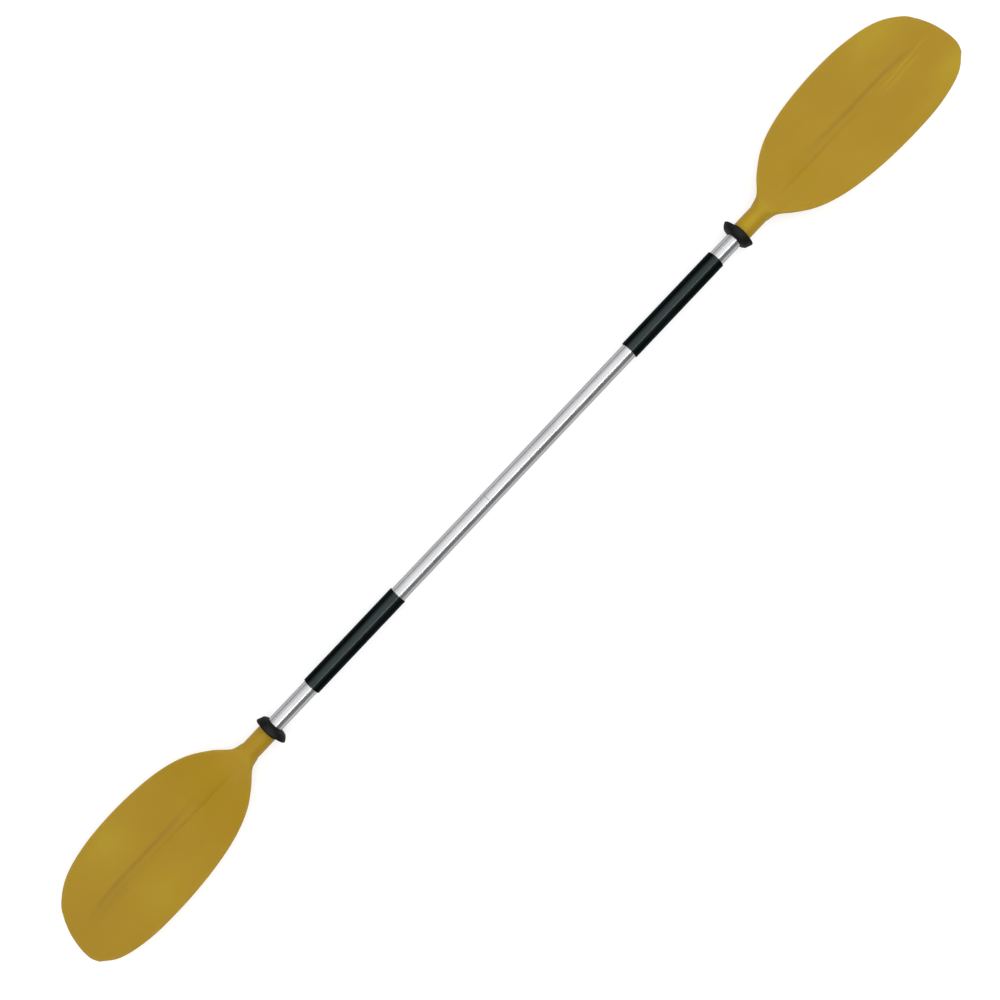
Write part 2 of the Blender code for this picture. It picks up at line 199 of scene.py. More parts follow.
def blade_heights(along, across, rim):
    """The blade's front and back heights. Rim runs from 1 inside to 0 at the edge."""
    spoon = -0.006 + (along - 0.230) ** 2 / 3.2 + 0.5 * across ** 2
    opened = ease(along, 0.045, 0.140)
    half = rim * (THROAT_THICKNESS * (1 - opened) + BLADE_THICKNESS * opened) / 2
    # The blade leaves the neck near its front and drops away slowly
    raised = 0.0095 * ease(along, 0.042, 0.060) * (1 - ease(along, 0.062, 0.215))
    mid = spoon * ease(along, NECK_LENGTH, 0.110) + raised
    front, back = mid + half, mid - half
    front_power = 0.5 + 1.7 * ease(along, SOCKET_DEPTH, 0.110)
    back_power = 0.5 + 1.1 * ease(along, SOCKET_DEPTH, 0.160)
    front_width = NECK_RADIUS + 0.032 * ease(along, SOCKET_DEPTH - 0.004, 0.130)
    back_width = NECK_RADIUS + 0.006 * ease(along, 0.050, 0.130) - 0.010 * ease(along, 0.15, 0.44)
    front_rise = (NECK_RADIUS - front) * (1 - ease(along, SOCKET_DEPTH + 0.001, 0.185))
    back_rise = (NECK_RADIUS + back) * (1 - 0.5 * ease(along, SOCKET_DEPTH + 0.004, 0.170))
    back_rise = back_rise * (1 - ease(along, 0.150, 0.452))
    front = front + front_rise * dome(across, front_width, front_power)
    back = back - back_rise * dome(across, back_width, back_power)
    on_land = (along >= LAND[0]) & (along <= LAND[1])
    crest = LAND_SLOPE * (along - LAND[0]) - LAND_HEIGHT
    back = np.where(on_land, np.maximum(back, crest), back)
    opening = ease(along, NECK_LENGTH, THROAT_END)
    pipe = np.sqrt(np.maximum(0.0, NECK_RADIUS ** 2 - across ** 2))
    return pipe + (front - pipe) * opening, -pipe + (back + pipe) * opening


def blade_grid():
    """Arrays of along and across, rows from the neck's end to the tip."""
    short, long, end = (smooth_curve(side) for side in (SHORT_SIDE, LONG_SIDE, TIP_END))
    halves = 60
    k = np.linspace(1, -1, 2 * halves + 1)
    neck_rows = (0.0, 0.0004, 0.0010, 0.004, 0.010, 0.016, 0.022, 0.028, 0.034, 0.039)
    along = [np.full(k.shape, u) for u in neck_rows]
    across = [NECK_RADIUS * np.sin(k * math.pi / 2) for _ in neck_rows]
    steps = np.linspace(0, 1, 171)
    shares = (steps ** 1.7 + 1 - (1 - steps) ** 1.15) / 2
    edge = 1 - np.array([.0055, .0040, .0027, .0016, .0008, .0003, 0.0])
    shares = np.concatenate([shares[shares < 0.9935], edge])
    for share in shares:
        p, q = at_share(short, share), at_share(long, share)
        blend = float(ease(p[0], 0.05, 0.13))
        line = np.empty_like(k)
        for sign, width in ((1, p[1]), (-1, -q[1])):
            mine = (k * sign) >= 0
            a = np.abs(k[mine])
            core = min(0.022, 0.5 * width)
            outer = np.clip((a - 0.5) / 0.5, 0, 1)
            shape = np.where(a < 0.5, core * a / 0.5,
                             core + (width - core) * (1 - np.cos(math.pi * outer)) / 2)
            line[mine] = sign * ((1 - blend) * width * np.sin(a * math.pi / 2) + blend * shape)
        s = (p[1] - line) / (p[1] - q[1])
        straight = end[0] + np.outer(s, end[-1] - end[0])
        bow = at_share(end, s) - straight
        place = p + np.outer(s, q - p) + bow * share ** 6
        along.append(place[:, 0])
        across.append(place[:, 1])
    outline = np.concatenate([short, end, long[::-1]])
    return np.array(along), np.array(across), outline


def build_blade(side, sign, material):
    """Front and back skins that meet at the edge, and a blind socket in the neck."""
    name, soft, far = side + "_moulded_blade", 0.0006, 0.03
    along, across, outline = blade_grid()
    edge = distance_to(outline, along, across)
    # The neck is a whole pipe, so it has no edge
    edge = np.where(along < 0.0435, 1.0, edge)
    opened = ease(along, 0.045, 0.140)
    radius = (THROAT_THICKNESS * (1 - opened) + BLADE_THICKNESS * opened) / 2
    rim = np.sqrt(np.maximum(0.0, 1 - (1 - np.minimum(edge, radius) / radius) ** 2))
    front, back = blade_heights(along, across, rim)
    depth, painted_shade_and_highlight = flute(along, across)
    front = front - depth * ease(edge, 0.002, 0.008)
    # Painted highlights where the strength is above 0, painted shade where it is below 0
    for u, v, length, width, strength in PAINTED_LIGHT_SPOTS[side]:
        painted_shade_and_highlight -= strength * np.exp(-((along - u) / length) ** 2 - ((across - v) / width) ** 2)
    lip = soft - np.sqrt(np.maximum(0.0, soft ** 2 - np.maximum(0.0, soft - along) ** 2))
    shrink = 1 - lip / NECK_RADIUS
    front, back, wide = front * shrink, back * shrink, across * shrink
    rows, columns = along.shape
    last = columns - 1
    meet = (front + back) / 2
    verts, marks, index = [], [], {}

    def vert(r, c, face):
        if c in (0, last) or r == rows - 1:
            face = "rim"
        if (r, c, face) not in index:
            z = {"front": front, "back": back, "rim": meet}[face][r, c]
            index[r, c, face] = len(verts)
            verts.append((sign * (NECK_X + along[r, c]), wide[r, c], z))
            marks.append((min(edge[r, c], far), painted_shade_and_highlight[r, c] if face == "front" else 0.0))
        return index[r, c, face]

    faces = []
    for r in range(rows - 1):
        for c in range(last):
            quad = [(r, c), (r, c + 1), (r + 1, c + 1), (r + 1, c)]
            for face in ("front", "back"):
                corners = list(dict.fromkeys(vert(*rc, face) for rc in quad))
                flip = (face == "front") == (sign > 0)
                faces.append(corners if flip else corners[::-1])
    ring = [index[0, c, "rim" if c in (0, last) else "front"] for c in range(columns)]
    ring += [index[0, c, "back"] for c in range(last - 1, 0, -1)]
    socket = ((SLEEVE_BORE + 0.0004, 0.0), (SLEEVE_BORE, 0.0005), (SLEEVE_BORE, SOCKET_DEPTH))
    for bore, depth_in in socket:
        inner = []
        for i in ring:
            _, y, z = verts[i]
            scale = bore / math.hypot(y, z)
            inner.append(len(verts))
            verts.append((sign * (NECK_X + depth_in), y * scale, z * scale))
            marks.append((far, 0.0))
        for j, i in enumerate(ring):
            k = (j + 1) % len(ring)
            quad = (i, ring[k], inner[k], inner[j])
            faces.append(quad if sign < 0 else quad[::-1])
        ring = inner
    faces.append(ring if sign < 0 else ring[::-1])
    mesh = bpy.data.meshes.new(name)
    mesh.from_pydata(verts, [], faces)
    mesh.shade_smooth()
    # The second attribute carries the painted shade and painted highlights on the blade's front
    for i, label in enumerate(("edge_distance", "painted_shade_and_highlight")):
        layer = mesh.attributes.new(label, "FLOAT", "POINT")
        layer.data.foreach_set("value", [mark[i] for mark in marks])
    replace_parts(finish_piece(name, mesh, side + "_half", material, sharp=50), side + "_blade")


# ---------------------------------------------------------------- turned pieces

def finish_piece(name, mesh, body, material, sharp=40):
    """Make a closed mesh into a piece that rides on its body."""
    bm = bmesh.new()
    bm.from_mesh(mesh)
    bmesh.ops.recalc_face_normals(bm, faces=bm.faces)
    if bm.calc_volume(signed=True) < 0:
        bmesh.ops.reverse_faces(bm, faces=bm.faces)
    bm.to_mesh(mesh)
    bm.free()
    mesh.shade_smooth()
    mesh.set_sharp_from_angle(angle=math.radians(sharp))
    mesh.materials.append(material)
    item = bpy.data.objects.new(name, mesh)
    bpy.context.scene.collection.objects.link(item)
    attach(item, body)
    return item


def turned_mesh(name, profile, steps=128, closed=True, place=Matrix()):
    """Spin (along, radius) points round +X. An open profile starts and ends on the axis."""
    bm = bmesh.new()
    points = [bm.verts.new((along, 0, radius)) for along, radius in profile]
    edges = [bm.edges.new(pair) for pair in zip(points, points[1:])]
    if closed:
        edges.append(bm.edges.new((points[-1], points[0])))
    bmesh.ops.spin(bm, geom=points + edges, cent=(0, 0, 0), axis=(1, 0, 0),
                   angle=2 * math.pi, steps=steps, use_merge=True)
    bmesh.ops.remove_doubles(bm, verts=bm.verts, dist=1e-6)
    bm.transform(place)
    mesh = bpy.data.meshes.new(name)
    bm.to_mesh(mesh)
    bm.free()
    return mesh


def rounded(profile, radii, steps=5):
    """Round the corners of a profile. A radius of 0 leaves its corner sharp."""
    points = []
    count = len(profile)
    for i, radius in enumerate(radii):
        corner = Vector(profile[i])
        if not radius:
            points.append(tuple(corner))
            continue
        before = (Vector(profile[i - 1]) - corner).normalized()
        after = (Vector(profile[(i + 1) % count]) - corner).normalized()
        reach = radius / math.tan(math.acos(max(-1, min(1, before.dot(after)))) / 2)
        start, end = corner + before * reach, corner + after * reach
        for step in range(steps + 1):
            t = step / steps
            points.append(tuple(start * (1 - t) ** 2 + corner * 2 * t * (1 - t) + end * t ** 2))
    return points


def drilled(mesh, angles, bore, outside):
    """Cut round holes for the lock button through a tube's wall, at angles from its back."""
    low, high = bore - 0.001, outside + 0.001
    item = bpy.data.objects.new("work", mesh)
    bpy.context.scene.collection.objects.link(item)
    bm = bmesh.new()
    profile = [(low, 0), (low, BUTTON_HOLE_RADIUS), (high, BUTTON_HOLE_RADIUS), (high, 0)]
    for angle in angles:
        place = Matrix.Translation((BUTTON_X, 0, 0)) @ Matrix.Rotation(math.radians(angle), 4, "X")
        pin = turned_mesh("pin", profile, 40, False, place @ OUTWARD)
        bm.from_mesh(pin)
        bpy.data.meshes.remove(pin)
    cutter_mesh = bpy.data.meshes.new("cutter")
    bmesh.ops.recalc_face_normals(bm, faces=bm.faces)
    bm.to_mesh(cutter_mesh)
    bm.free()
    cutter = bpy.data.objects.new("cutter", cutter_mesh)
    bpy.context.scene.collection.objects.link(cutter)
    modifier = item.modifiers.new("holes", "BOOLEAN")
    modifier.operation, modifier.solver, modifier.object = "DIFFERENCE", "EXACT", cutter
    made = bpy.data.meshes.new_from_object(item.evaluated_get(
        bpy.context.evaluated_depsgraph_get()))
    for old in (item, cutter):
        bpy.data.objects.remove(old, do_unlink=True)
    made.name = mesh.name
    return made


def tube_profile(start, end, inner, outer, outer_ease, inner_ease):
    """A tube's section, with its ends' edges eased."""
    return rounded([(start, inner), (start, outer), (end, outer), (end, inner)],
                   [inner_ease, outer_ease, outer_ease, inner_ease])


# ---------------------------------------------------------------- materials

class Nodes:
    """A Principled material, with short ways to add the few kinds of node used here."""

    def __init__(self, name, colour, roughness, metallic=0.0, specular=0.5):
        self.material = bpy.data.materials.new(name)
        self.material.use_nodes = True
        self.tree = self.material.node_tree
        self.shader = self.tree.nodes["Principled BSDF"]
        self.set("Base Color", (*colour, 1.0))
        self.set("Roughness", roughness)
        self.set("Metallic", metallic)
        self.set("Specular IOR Level", specular)
        self.coords = self.tree.nodes.new("ShaderNodeTexCoord").outputs["Object"]

    def set(self, socket, value):
        self.shader.inputs[socket].default_value = value

    def join(self, value, socket):
        if hasattr(value, "links"):
            self.tree.links.new(value, socket)
        else:
            socket.default_value = value

    def feed(self, socket, value):
        self.tree.links.new(value, self.shader.inputs[socket])

    def attribute(self, name):
        node = self.tree.nodes.new("ShaderNodeAttribute")
        node.attribute_name = name
        return node.outputs["Fac"]

    def math(self, kind, a, b):
        node = self.tree.nodes.new("ShaderNodeMath")
        node.operation = kind
        for value, socket in zip((a, b), node.inputs):
            self.join(value, socket)
        return node.outputs[0]

    def stretch(self, scale, turn=(0, 0, 0)):
        node = self.tree.nodes.new("ShaderNodeMapping")
        node.inputs["Scale"].default_value = scale
        node.inputs["Rotation"].default_value = turn
        self.tree.links.new(self.coords, node.inputs["Vector"])
        return node.outputs[0]

    def noise(self, vector, scale, detail=2.0, rough=0.5, bend=0.0):
        node = self.tree.nodes.new("ShaderNodeTexNoise")
        for socket, value in (("Scale", scale), ("Detail", detail), ("Roughness", rough),
                              ("Distortion", bend)):
            node.inputs[socket].default_value = value
        self.tree.links.new(vector, node.inputs["Vector"])
        return node.outputs["Fac"]

    def cells(self, vector, scale, feature="F1"):
        node = self.tree.nodes.new("ShaderNodeTexVoronoi")
        node.feature = feature
        node.inputs["Scale"].default_value = scale
        self.tree.links.new(vector, node.inputs["Vector"])
        return node.outputs["Distance"]

    def levels(self, value, low, high, out_low=0.0, out_high=1.0):
        node = self.tree.nodes.new("ShaderNodeMapRange")
        node.interpolation_type = "SMOOTHSTEP"
        self.tree.links.new(value, node.inputs["Value"])
        for socket, number in (("From Min", low), ("From Max", high), ("To Min", out_low),
                               ("To Max", out_high)):
            self.join(number, node.inputs[socket])
        return node.outputs["Result"]

    def mix(self, share, a, b):
        node = self.tree.nodes.new("ShaderNodeMix")
        node.data_type = "RGBA"
        self.join(share, node.inputs["Factor"])
        for value, socket in ((a, node.inputs["A"]), (b, node.inputs["B"])):
            self.join(value if hasattr(value, "links") else (*value, 1.0), socket)
        return node.outputs["Result"]

    def soft_gloss(self, facing, glancing):
        """Gloss that is strongest face on, as on skin-smooth rubber and matt plastic."""
        node = self.tree.nodes.new("ShaderNodeLayerWeight")
        node.inputs["Blend"].default_value = 0.5
        self.feed("Specular IOR Level", self.levels(node.outputs["Facing"], 0.0, 0.21, facing,
                                                    glancing))

    def bumps(self, *layers):
        """Stack bumps: (height, strength, distance) each."""
        normal = None
        for height, strength, distance in layers:
            node = self.tree.nodes.new("ShaderNodeBump")
            node.inputs["Strength"].default_value = strength
            node.inputs["Distance"].default_value = distance
            self.tree.links.new(height, node.inputs["Height"])
            if normal:
                self.tree.links.new(normal, node.inputs["Normal"])
            normal = node.outputs["Normal"]
        self.feed("Normal", normal)


def scratches(nodes, scale, turn, width=0.012, density=0.62):
    """Fine broken lines: the walls between long thin cells, kept only in patches."""
    lines = nodes.cells(nodes.stretch((1.0, 14.0, 14.0), turn), scale, "DISTANCE_TO_EDGE")
    thin = nodes.levels(lines, 0.0, width, 1.0, 0.0)
    patches = nodes.levels(nodes.noise(nodes.coords, 18.0, 3.0), density, density + 0.08)
    return nodes.math("MULTIPLY", thin, patches)


def blade_material():
    """Mustard plastic: clouded, flow-marked, rubbed at its edges, with painted shade along the
    recess and painted highlights in spots.
    """
    n = Nodes("moulded_blade_plastic", (0.43, 0.265, 0.018), 0.40, specular=0.16)
    edge, painted_shade_and_highlight = n.attribute("edge_distance"), n.attribute("painted_shade_and_highlight")
    cloud = n.noise(n.coords, 5.0, 3.0, 0.55)
    flow = n.noise(n.stretch((1.0, 5.0, 5.0)), 9.0, 3.0, 0.6, 0.6)
    speckle = n.noise(n.coords, 260.0, 2.0, 0.6)
    colour = n.mix(n.levels(cloud, 0.36, 0.66), (0.347, 0.203, 0.0074), (0.363, 0.222, 0.0092))
    colour = n.mix(n.levels(flow, 0.45, 0.75, 0.0, 0.35), colour, (0.336, 0.197, 0.0072))
    colour = n.mix(n.levels(speckle, 0.35, 0.70, 0.0, 0.10), colour, (0.29, 0.17, 0.009))
    worn = n.levels(edge, 0.0008, 0.0075, 1.0, 0.0)
    broken = n.levels(n.noise(n.coords, 85.0, 4.0, 0.65), 0.40, 0.68)
    wear = n.math("MULTIPLY", worn, broken)
    colour = n.mix(n.math("MULTIPLY", wear, 0.22), colour, (0.50, 0.35, 0.085))
    marks = n.math("MAXIMUM", scratches(n, 26.0, (0, 0, 0.5)), scratches(n, 34.0, (0, 0, -0.9)))
    colour = n.mix(n.math("MULTIPLY", marks, 0.20), colour, (0.50, 0.35, 0.09))
    # Painted shade darkens where the attribute is above 0, and painted highlights lighten where it
    # is below 0
    painted_shade = n.math("MAXIMUM", painted_shade_and_highlight, 0.0)
    painted_highlight = n.math("MAXIMUM", n.math("MULTIPLY", painted_shade_and_highlight, -1.0), 0.0)
    colour = n.mix(n.math("MULTIPLY", painted_shade, 0.36), colour, (0.215, 0.121, 0.015))
    colour = n.mix(painted_highlight, colour, (0.465, 0.375, 0.014))
    n.feed("Base Color", colour)
    rough = n.levels(n.noise(n.coords, 30.0, 4.0, 0.6), 0.3, 0.7, 0.36, 0.47)
    rough = n.math("ADD", rough, n.math("MULTIPLY", wear, 0.15))
    n.feed("Roughness", n.math("ADD", rough, n.math("MULTIPLY", marks, 0.12)))
    grain = n.noise(n.coords, 1500.0, 2.0, 0.6)
    orange_peel = n.noise(n.coords, 140.0, 2.0, 0.5)
    n.bumps((orange_peel, 0.10, 0.0004), (grain, 0.16, 0.00012), (marks, 0.25, 0.00008),
            (wear, 0.15, 0.0002))
    return n.material


def drawn_aluminium(name, colour, rough, tint=0.55, rub=0.3):
    """Drawn and anodised tube: fine lines along it, faint clouding and handling marks."""
    n = Nodes(name, colour, rough, 1.0)
    n.set("Specular Tint", (tint, tint, tint, 1.0))
    dark = tuple(0.90 * c for c in colour)
    lines = n.noise(n.stretch((0.010, 1.0, 1.0)), 2600.0, 3.0, 0.6)
    bands = n.noise(n.stretch((0.02, 1.0, 1.0)), 330.0, 2.0, 0.5)
    cloud = n.noise(n.coords, 14.0, 4.0, 0.6)
    shade = n.mix(n.levels(cloud, 0.35, 0.70), colour, dark)
    shade = n.mix(n.levels(bands, 0.35, 0.70, 0.0, 0.35), shade, tuple(0.86 * c for c in colour))
    rings = n.noise(n.stretch((1.0, 0.012, 0.012)), 2200.0, 2.0, 0.6)
    patches = n.levels(n.noise(n.coords, 22.0, 3.0), 0.55, 0.66)
    rubbed = n.math("MULTIPLY", n.levels(rings, 0.60, 0.68), patches)
    shade = n.mix(n.math("MULTIPLY", rubbed, rub), shade, tuple(min(1, 1.22 * c) for c in colour))
    n.feed("Base Color", shade)
    vary = n.levels(n.noise(n.coords, 45.0, 4.0, 0.65), 0.3, 0.7, rough - 0.04, rough + 0.05)
    n.feed("Roughness", n.math("ADD", vary, n.math("MULTIPLY", rubbed, 0.10)))
    n.bumps((lines, 0.025, 0.00002), (bands, 0.012, 0.00006), (rubbed, 0.06, 0.00002))
    return n.material


def grip_material():
    """A shrunk rubbery sleeve: smooth, near-black, with a soft sheen and finger-rubbed patches."""
    n = Nodes("shrunk_grip_sleeve", (0.004, 0.007, 0.0075), 0.30, specular=0.42)
    n.soft_gloss(0.36, 0.01)
    n.set("Specular Tint", (0.84, 1.0, 1.0, 1.0))
    mottle = n.noise(n.coords, 55.0, 4.0, 0.6)
    rubbed = n.levels(n.noise(n.stretch((0.35, 1.0, 1.0)), 24.0, 3.0, 0.6), 0.50, 0.72)
    colour = n.mix(n.levels(mottle, 0.3, 0.7), (0.0008, 0.0019, 0.0021), (0.0015, 0.0032, 0.0035))
    colour = n.mix(n.math("MULTIPLY", rubbed, 0.5), colour, (0.0050, 0.0085, 0.0090))
    dust = n.levels(n.noise(n.coords, 900.0, 2.0, 0.5), 0.66, 0.72)
    colour = n.mix(n.math("MULTIPLY", dust, 0.10), colour, (0.12, 0.12, 0.115))
    n.feed("Base Color", colour)
    rough = n.levels(mottle, 0.3, 0.7, 0.19, 0.26)
    n.feed("Roughness", n.math("SUBTRACT", rough, n.math("MULTIPLY", rubbed, 0.06)))
    ripple = n.noise(n.stretch((0.25, 1.0, 1.0)), 160.0, 2.0, 0.5)
    grain = n.noise(n.coords, 1700.0, 2.0, 0.6)
    n.bumps((ripple, 0.08, 0.0003), (grain, 0.14, 0.00008))
    return n.material


def rubber_material(name, colour, rough, grain_scale=1300.0):
    """Moulded rubber: fine grain, mould lines, and a dusty bloom."""
    n = Nodes(name, colour, rough, specular=0.35)
    n.soft_gloss(0.26, 0.07)
    bloom = n.noise(n.coords, 95.0, 4.0, 0.65)
    dust = n.levels(n.noise(n.coords, 750.0, 3.0, 0.6), 0.60, 0.72)
    pale = tuple(2.2 * c + 0.005 for c in colour)
    shade = n.mix(n.levels(bloom, 0.35, 0.75, 0.0, 0.55), colour, pale)
    n.feed("Base Color", n.mix(n.math("MULTIPLY", dust, 0.12), shade, (0.16, 0.155, 0.145)))
    n.feed("Roughness", n.levels(bloom, 0.3, 0.7, rough - 0.06, rough + 0.08))
    mould = n.noise(n.stretch((1.0, 0.05, 0.05)), 900.0, 2.0, 0.5)
    n.bumps((n.noise(n.coords, grain_scale, 3.0, 0.6), 0.30, 0.00012), (mould, 0.10, 0.0001))
    return n.material


def steel_material(name, colour, rough):
    """Plain worked metal, clouded and finely lined."""
    n = Nodes(name, colour, rough, 1.0)
    cloud = n.noise(n.coords, 240.0, 4.0, 0.6)
    fine = n.noise(n.stretch((1.0, 1.0, 0.06)), 3800.0, 2.0, 0.6)
    dark = tuple(0.78 * c for c in colour)
    n.feed("Base Color", n.mix(n.levels(cloud, 0.35, 0.7), colour, dark))
    n.feed("Roughness", n.levels(cloud, 0.3, 0.7, rough - 0.05, rough + 0.10))
    n.bumps((fine, 0.12, 0.00003), (cloud, 0.08, 0.00005))
    return n.material


def foam_material():
    """Off-white closed-cell foam."""
    n = Nodes("bung_foam", (0.74, 0.72, 0.66), 0.92, specular=0.2)
    pores = n.cells(n.coords, 1100.0)
    patch = n.noise(n.coords, 60.0, 3.0, 0.6)
    shade = n.mix(n.levels(patch, 0.3, 0.7), (0.76, 0.74, 0.69), (0.66, 0.63, 0.56))
    n.feed("Base Color", n.mix(n.levels(pores, 0.1, 0.5, 0.35, 0.0), shade, (0.42, 0.40, 0.34)))
    n.feed("Roughness", n.levels(patch, 0.3, 0.7, 0.86, 0.97))
    n.bumps((pores, 0.6, 0.0004))
    return n.material


# ---------------------------------------------------------------- the pieces

def build_shafts(material):
    """Two tubes that meet at the split, the right one with a hole for each feather angle."""
    far_end, section = NECK_X + SOCKET_DEPTH, (SHAFT_BORE, SHAFT_RADIUS, 0.0004, 0.0003)
    left = turned_mesh("left_tube", tube_profile(-far_end, SPLIT_X, *section))
    right = turned_mesh("right_tube", tube_profile(SPLIT_X + GAP, far_end, *section))
    right = drilled(right, FEATHER_ANGLES, SHAFT_BORE, SHAFT_RADIUS)
    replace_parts(finish_piece("left_tube", left, "left_half", material), "left_shaft")
    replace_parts(finish_piece("right_tube", right, "right_half", material), "right_shaft")


def build_grip(side, material):
    """A sleeve shrunk on the tube."""
    start, end = GRIPS[side]
    profile = tube_profile(start, end, SLEEVE_BORE, GRIP_RADIUS, 0.0008, 0.0003)
    piece = finish_piece(side + "_sleeve", turned_mesh(side + "_sleeve", profile),
                         side + "_half", material)
    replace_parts(piece, side + "_grip")


def build_ring(side, material):
    """A soft cup, its rim open towards the blade and leaning along the shaft."""
    length = RING_LENGTH
    corners = [(0, SLEEVE_BORE), (0, .0163), (.0012, .0205), (.0034, .0258), (.0080, .0288),
               (.0134, RING_RADIUS), (.0152, .0310), (.0092, .0272), (.0056, .0240),
               (.0044, .0192), (length, .0188), (length, SLEEVE_BORE)]
    radii = [0.0004, 0.0006, 0.0012, 0.0016, 0.0015, 0.0007, 0.0005, 0.0015, 0.0015, 0.0014,
             0.0008, 0.0004]
    start = NECK_X - GAP - length
    profile = rounded([(start + along, radius) for along, radius in corners], radii, 6)
    mesh = turned_mesh(side + "_cup", profile)
    for vert in mesh.vertices:
        height = math.hypot(vert.co.y, vert.co.z)
        soft = float(ease(height, 0.0205, RING_RADIUS))
        vert.co.x -= RING_LEAN * vert.co.y * soft
        vert.co.y += 0.0022 * soft
    if side == "left":
        mesh.transform(Matrix.Rotation(math.pi, 4, "Z"))
    piece = finish_piece(side + "_cup", mesh, side + "_ring", material, sharp=60)
    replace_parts(piece, side + "_drip_ring")


def build_ferrule(material):
    """The tube inside the joint, with the seal's groove and the lock button's hole."""
    start, end = SPLIT_X - FERRULE_REACH, SPLIT_X + FERRULE_REACH
    low, high = SEAL_X - SEAL_GROOVE_HALF_WIDTH, SEAL_X + SEAL_GROOVE_HALF_WIDTH
    corners = [(start, FERRULE_BORE), (start, FERRULE_RADIUS), (low, FERRULE_RADIUS),
               (low, SEAL_GROOVE_RADIUS), (high, SEAL_GROOVE_RADIUS), (high, FERRULE_RADIUS),
               (end - 0.002, FERRULE_RADIUS), (end, FERRULE_RADIUS - 0.001), (end, FERRULE_BORE)]
    radii = [0.0002, 0.0005, 0.00015, 0.0002, 0.0002, 0.00015, 0.0008, 0.0004, 0.0002]
    mesh = turned_mesh("ferrule_tube", rounded(corners, radii, 4))
    mesh = drilled(mesh, (0,), FERRULE_BORE, FERRULE_RADIUS)
    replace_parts(finish_piece("ferrule_tube", mesh, "left_half", material), "ferrule")


def build_seal(material):
    """An O-ring that just clears its groove's floor."""
    radius, sides = SEAL_CORD_RADIUS, 20
    centre = SEAL_GROOVE_RADIUS + GAP / 2 + radius
    profile = [(SEAL_X + radius * math.cos(2 * math.pi * i / sides),
                centre + radius * math.sin(2 * math.pi * i / sides)) for i in range(sides)]
    piece = finish_piece("o_ring", turned_mesh("o_ring", profile), "joint_seal", material, 80)
    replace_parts(piece, "seal_ring")


def build_button(material):
    """A domed pin, with a thin flange that stops it in the ferrule's bore."""
    top, radius, crown = 0.0172, 0.0035, 0.0014
    profile = [(0.0087, 0), (0.0087, radius + .0010), (0.0090, radius + .0011),
               (0.0093, radius + .0011), (0.0095, radius + .0009), (0.0095, radius),
               (top - crown, radius)]
    for step in range(1, 9):
        angle = math.radians(90) * step / 9
        profile.append((top - crown * (1 - math.sin(angle)), radius * math.cos(angle)))
    profile.append((top, 0))
    place = Matrix.Translation((BUTTON_X, 0, 0)) @ OUTWARD
    mesh = turned_mesh("lock_pin", profile, 48, False, place)
    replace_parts(finish_piece("lock_pin", mesh, "lock_button", material), "snap_button")


def build_spring(material):
    """A leaf of spring steel folded to a V."""
    turn_x, turn_radius, half, side, reach = BUTTON_X - 0.042, 0.0024, 0.0003, 0.0040, 0.0070
    angles = np.radians(np.linspace(-80, -280, 25))
    path = [(BUTTON_X + reach, -0.0084), (BUTTON_X - 0.010, -0.0069), (BUTTON_X - 0.026, -0.0046)]
    path += [(turn_x + turn_radius * math.cos(a), turn_radius * math.sin(a)) for a in angles]
    path += [(BUTTON_X - 0.026, 0.0048), (BUTTON_X - 0.010, 0.0073), (BUTTON_X + reach, 0.0092)]
    points = np.array(path)
    run = np.gradient(points, axis=0)
    run /= np.linalg.norm(run, axis=1)[:, None]
    normal = np.stack([-run[:, 1], run[:, 0]], 1) * half
    loops = []
    for across, inset in ((-side, 0.3), (-side + 0.0002, 1.0), (side - 0.0002, 1.0), (side, 0.3)):
        loops.append([(x, across, z) for x, z in points + normal * inset]
                     + [(x, across, z) for x, z in (points - normal * inset)[::-1]])
    count = len(loops[0])
    verts = [vert for loop in loops for vert in loop]
    faces = [[k * count + i, k * count + (i + 1) % count, (k + 1) * count + (i + 1) % count,
              (k + 1) * count + i] for k in range(3) for i in range(count)]
    for base in (0, 3 * count):
        faces += [[base + i, base + i + 1, base + count - 2 - i, base + count - 1 - i]
                  for i in range(len(points) - 1)]
    mesh = bpy.data.meshes.new("leaf_spring")
    mesh.from_pydata(verts, [], faces)
    piece = finish_piece("leaf_spring", mesh, "left_half", material, sharp=35)
    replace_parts(piece, "button_spring")
    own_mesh(piece)


def build_rivet(name, node, x, outside, inside, body, rivet_mat, mandrel_mat):
    """A domed blind rivet through a wall, and the broken mandrel in its bore."""
    seat, head, wide, bore = outside + GAP, outside + GAP + 0.0013, 0.0046, 0.0014
    tail = math.sqrt(inside ** 2 - RIVET_TAIL_RADIUS ** 2) - GAP
    crown = [(seat + 0.0003 + 0.0010 * math.sin(a), wide - (wide - 0.0020) * (1 - math.cos(a)))
             for a in (math.radians(90) * step / 8 for step in range(9))]
    profile = [(tail - .0026, bore), (tail - .0026, .0028),
               (tail - .0018, RIVET_TAIL_RADIUS), (tail, RIVET_TAIL_RADIUS),
               (tail, .0024), (seat, .0024), (seat, wide)] + crown + [(head - .0004, bore)]
    place = Matrix.Translation((x, 0, 0)) @ OUTWARD
    shell = turned_mesh(name, profile, 48, True, place)
    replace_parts(finish_piece(name, shell, body, rivet_mat), node)
    stem = [(tail - .0046, 0), (tail - .0043, .0016), (tail - .0029, .0019),
            (tail - .0029, .0011), (head - .0006, .0011), (head - .0004, .0008),
            (head - .0005, .0003), (head - .0003, 0)]
    core = turned_mesh(name + "_core", stem, 32, False, place)
    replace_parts(finish_piece(name + "_core", core, body, mandrel_mat), node + "_mandrel")


def build_bung(side, start, material):
    """A foam plug with soft edges, in the tube's bore beyond the ferrule."""
    name, end, radius, soft = side + "_plug", start + BUNG_LENGTH, SHAFT_BORE - GAP, 0.003
    profile = rounded([(start, 0), (start, radius), (end, radius), (end, 0)],
                      [0, soft, soft, 0], 6)
    piece = finish_piece(name, turned_mesh(name, profile, 96, False), side + "_half", material)
    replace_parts(piece, side + "_bung")


